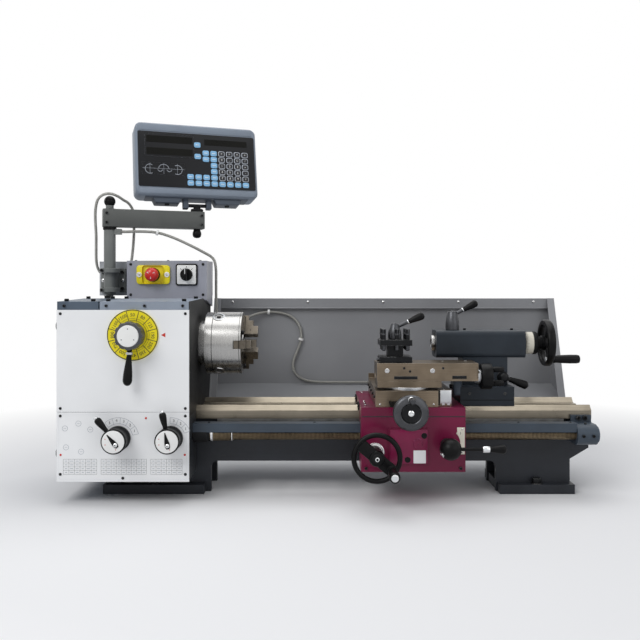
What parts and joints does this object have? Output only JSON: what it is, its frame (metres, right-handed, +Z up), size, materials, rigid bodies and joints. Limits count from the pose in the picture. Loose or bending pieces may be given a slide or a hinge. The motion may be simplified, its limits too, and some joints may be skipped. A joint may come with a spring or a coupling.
{
  "type": "bench lathe",
  "caption": "Bench metal lathe with three-jaw chuck, carriage with cross and top slides, tailstock, splash guard and a position display on a swinging arm.",
  "frame": {"origin": "on the surface it stands on, midway between the four foot bolts", "axes": "+X along the bed from headstock to tailstock, +Y away from the operator, +Z up"},
  "size_m": [1.031, 0.5208, 0.7679],
  "materials": {
    "bed_paint": "satin",
    "cast_steel": "ground",
    "head_paint": "satin",
    "cover_paint": "satin",
    "panel_white": "satin",
    "screw_steel": "dark",
    "box_paint": "satin",
    "plate_grey": "satin",
    "dial_yellow": "satin",
    "steel": "ground",
    "belt_rubber": "matte",
    "motor_paint": "painted",
    "guard_grey": "satin",
    "cable_grey": "ribbed",
    "tie_white": "satin",
    "brass": "cut",
    "black": "satin",
    "knob_grey": "satin",
    "red": "gloss",
    "arm_paint": "satin",
    "display_shell": "satin",
    "display_front": "satin",
    "burgundy": "painted gloss",
    "tail_paint": "painted gloss",
    "black_oxide": "black oxide",
    "jaw_steel": "hardened",
    "pinion_steel": "cut"
  },
  "bodies": {
    "base": {"bed": "bed_paint", "rack": "pinion_steel", "headstock": "head_paint", "end_cover": "cover_paint", "front_panels": "panel_white", "machine_screws": "screw_steel", "feed_box": "motor_paint", "electrics_box": "box_paint", "rear_plate": "plate_grey", "control_plates": "dial_yellow", "motor": "motor_paint", "drive_belt": "belt_rubber", "speed_dial": "dial_yellow", "dro_post": "arm_paint", "splash_guard": "guard_grey", "screw_cover": "cover_paint", "end_bracket": "cover_paint", "bearing_races": "steel", "cable_long": "cable_grey", "cable_loops": "cable_grey", "cable_ties": "tie_white"},
    "gear_door": {"gear_door": "cover_paint"},
    "spindle": {"spindle": "steel", "bearing_balls": "steel", "chuck_body": "steel", "chuck_pinion": "pinion_steel"},
    "chuck_scroll": {"chuck_scroll": "pinion_steel"},
    "jaw_1": {"jaw_1": "jaw_steel"},
    "jaw_2": {"jaw_2": "jaw_steel"},
    "jaw_3": {"jaw_3": "jaw_steel"},
    "motor_pulley": {"motor_pulley": "steel"},
    "idler_gear": {"idler_gear": "brass"},
    "lead_screw": {"lead_screw": "steel"},
    "speed_lever": {"speed_lever": "knob_grey"},
    "feed_knob_left": {"feed_knob_left": "black"},
    "feed_knob_right": {"feed_knob_right": "black"},
    "stop_button": {"stop_button": "red"},
    "switch_knob": {"switch_knob": "black"},
    "dro_arm": {"dro_arm": "arm_paint"},
    "dro_mount": {"dro_mount": "black"},
    "display": {"dro_housing": "display_shell", "dro_panel": "display_front"},
    "carriage": {"saddle": "burgundy", "apron": "burgundy"},
    "apron_wheel": {"apron_wheel": "steel"},
    "rack_pinion": {"rack_pinion": "pinion_steel"},
    "nut_lever": {"nut_lever": "black"},
    "half_nut": {"half_nut": "brass"},
    "cross_slide": {"cross_slide": "cast_steel"},
    "cross_wheel": {"cross_wheel": "black_oxide"},
    "swivel_base": {"swivel_base": "cast_steel"},
    "top_slide": {"top_slide": "cast_steel"},
    "top_wheel": {"top_wheel": "black"},
    "tool_post": {"tool_post": "black_oxide"},
    "post_lever": {"post_lever": "black_oxide"},
    "tailstock": {"tailstock": "tail_paint"},
    "quill": {"quill": "steel"},
    "tail_wheel": {"tail_wheel": "black_oxide"},
    "lock_lever": {"lock_lever": "black_oxide"},
    "clamp_lever": {"clamp_lever": "black_oxide"}
  },
  "joints": [
    {"name": "gear_door_hinge", "type": "hinge", "parent": "base", "child": "gear_door", "pos_m": [-0.5358, 0.145, 0.2], "axis": [0, 0, -1], "range_deg": [0, 110]},
    {"name": "spindle_spin", "type": "hinge", "parent": "base", "child": "spindle", "pos_m": [-0.292, 0, 0.29], "axis": [1, 0, 0], "continuous": true},
    {"name": "scroll_turn", "type": "hinge", "parent": "spindle", "child": "chuck_scroll", "pos_m": [-0.292, 0, 0.29], "axis": [1, 0, 0], "range_deg": [-360, 600]},
    {"name": "jaw_1_slide", "type": "slide", "parent": "spindle", "child": "jaw_1", "axis": [0, -1, 0], "range_m": [-0.0061, 0.0101]},
    {"name": "jaw_2_slide", "type": "slide", "parent": "spindle", "child": "jaw_2", "axis": [0, 0.5, -0.866], "range_m": [-0.0061, 0.0101]},
    {"name": "jaw_3_slide", "type": "slide", "parent": "spindle", "child": "jaw_3", "axis": [0, 0.5, 0.866], "range_m": [-0.0061, 0.0101]},
    {"name": "motor_spin", "type": "hinge", "parent": "base", "child": "motor_pulley", "pos_m": [-0.458, 0.096, 0.1], "axis": [1, 0, 0], "continuous": true},
    {"name": "idler_spin", "type": "hinge", "parent": "base", "child": "idler_gear", "pos_m": [-0.458, -0.03654, 0.20339], "axis": [1, 0, 0], "continuous": true},
    {"name": "lead_screw_spin", "type": "hinge", "parent": "base", "child": "lead_screw", "pos_m": [-0.458, -0.1, 0.121], "axis": [1, 0, 0], "continuous": true},
    {"name": "speed_lever_turn", "type": "hinge", "parent": "base", "child": "speed_lever", "pos_m": [-0.396, -0.15, 0.314], "axis": [0, 1, 0], "range_deg": [-120, 120]},
    {"name": "feed_left_turn", "type": "hinge", "parent": "base", "child": "feed_knob_left", "pos_m": [-0.423, -0.15, 0.123], "axis": [0, 1, 0], "range_deg": [-15, 75]},
    {"name": "feed_right_turn", "type": "hinge", "parent": "base", "child": "feed_knob_right", "pos_m": [-0.326, -0.15, 0.123], "axis": [0, 1, 0], "range_deg": [-15, 60]},
    {"name": "stop_press", "type": "slide", "parent": "base", "child": "stop_button", "axis": [0, 1, 0], "range_m": [0, 0.006]},
    {"name": "switch_turn", "type": "hinge", "parent": "base", "child": "switch_knob", "pos_m": [-0.33, 0.04, 0.43], "axis": [0, 1, 0], "range_deg": [-45, 90]},
    {"name": "arm_swing", "type": "hinge", "parent": "base", "child": "dro_arm", "pos_m": [-0.5052, 0.1, 0.5343], "axis": [0, 0, 1], "range_deg": [-70, 0]},
    {"name": "display_swivel", "type": "hinge", "parent": "dro_arm", "child": "dro_mount", "pos_m": [-0.32666, 0.16498, 0.5868], "axis": [0, 0, 1], "range_deg": [-60, 60]},
    {"name": "display_tilt", "type": "hinge", "parent": "dro_mount", "child": "display", "pos_m": [-0.32666, 0.16498, 0.5868], "axis": [0.9397, 0.342, 0], "range_deg": [-15, 10]},
    {"name": "carriage_slide", "type": "slide", "parent": "base", "child": "carriage", "axis": [1, 0, 0], "range_m": [-0.18, 0]},
    {"name": "apron_wheel_turn", "type": "hinge", "parent": "carriage", "child": "apron_wheel", "pos_m": [0.0525, -0.2, 0.096], "axis": [0, 1, 0], "range_deg": [-1915, 5]},
    {"name": "rack_pinion_turn", "type": "hinge", "parent": "carriage", "child": "rack_pinion", "pos_m": [0.08717, -0.06, 0.1197], "axis": [0, 1, 0], "range_deg": [-5, 770]},
    {"name": "nut_lever_turn", "type": "hinge", "parent": "carriage", "child": "nut_lever", "pos_m": [0.186, -0.19, 0.11], "axis": [0, 1, 0], "range_deg": [-0.5, 36]},
    {"name": "half_nut_lift", "type": "slide", "parent": "carriage", "child": "half_nut", "axis": [0, 0, 1], "range_m": [0, 0.005]},
    {"name": "cross_feed", "type": "slide", "parent": "carriage", "child": "cross_slide", "axis": [0, 1, 0], "range_m": [-0.004, 0.03]},
    {"name": "cross_wheel_turn", "type": "hinge", "parent": "carriage", "child": "cross_wheel", "pos_m": [0.1125, -0.215, 0.178], "axis": [0, 1, 0], "range_deg": [-725, 5405]},
    {"name": "swivel_turn", "type": "hinge", "parent": "cross_slide", "child": "swivel_base", "pos_m": [0.118, -0.097, 0.2096], "axis": [0, 0, 1], "range_deg": [-60, 0]},
    {"name": "top_feed", "type": "slide", "parent": "swivel_base", "child": "top_slide", "axis": [1, 0, 0], "range_m": [-0.03, 0.02]},
    {"name": "top_wheel_turn", "type": "hinge", "parent": "top_slide", "child": "top_wheel", "pos_m": [0.27, -0.0975, 0.2321], "axis": [1, 0, 0], "range_deg": [-5410, 3610]},
    {"name": "tool_post_turn", "type": "hinge", "parent": "top_slide", "child": "tool_post", "pos_m": [0.0935, -0.0976, 0.28], "axis": [0, 0, 1], "continuous": true},
    {"name": "post_lever_turn", "type": "hinge", "parent": "top_slide", "child": "post_lever", "pos_m": [0.0935, -0.0976, 0.31], "axis": [0, 0, 1], "range_deg": [-50, 60]},
    {"name": "tailstock_slide", "type": "slide", "parent": "base", "child": "tailstock", "axis": [1, 0, 0], "range_m": [0, 0.11]},
    {"name": "quill_feed", "type": "slide", "parent": "tailstock", "child": "quill", "axis": [-1, 0, 0], "range_m": [0, 0.06]},
    {"name": "tail_wheel_turn", "type": "hinge", "parent": "tailstock", "child": "tail_wheel", "pos_m": [0.4, 0, 0.29], "axis": [1, 0, 0], "range_deg": [-10, 8650]},
    {"name": "lock_lever_turn", "type": "hinge", "parent": "tailstock", "child": "lock_lever", "pos_m": [0.22, 0, 0.32], "axis": [0, 0, 1], "range_deg": [-40, 40]},
    {"name": "clamp_lever_turn", "type": "hinge", "parent": "tailstock", "child": "clamp_lever", "pos_m": [0.316, -0.038, 0.224], "axis": [0, 1, 0], "range_deg": [-35, 8]}
  ],
  "couplings": [
    {"joint": "jaw_1_slide", "follows": "scroll_turn", "m_per_rad": 0.00095493},
    {"joint": "jaw_2_slide", "follows": "scroll_turn", "m_per_rad": 0.00095493},
    {"joint": "jaw_3_slide", "follows": "scroll_turn", "m_per_rad": 0.00095493},
    {"joint": "motor_spin", "follows": "spindle_spin", "ratio": 2},
    {"joint": "idler_spin", "follows": "spindle_spin", "ratio": -0.46875},
    {"joint": "lead_screw_spin", "follows": "spindle_spin", "ratio": 0.75},
    {"joint": "apron_wheel_turn", "follows": "carriage_slide", "rad_per_m": 185.19},
    {"joint": "rack_pinion_turn", "follows": "carriage_slide", "rad_per_m": -74.074},
    {"joint": "nut_lever_turn", "follows": "half_nut_lift", "rad_per_m": 122.17},
    {"joint": "cross_wheel_turn", "follows": "cross_feed", "rad_per_m": 3141.6},
    {"joint": "top_wheel_turn", "follows": "top_feed", "rad_per_m": 3141.6},
    {"joint": "tail_wheel_turn", "follows": "quill_feed", "rad_per_m": 2513.3}
  ]
}
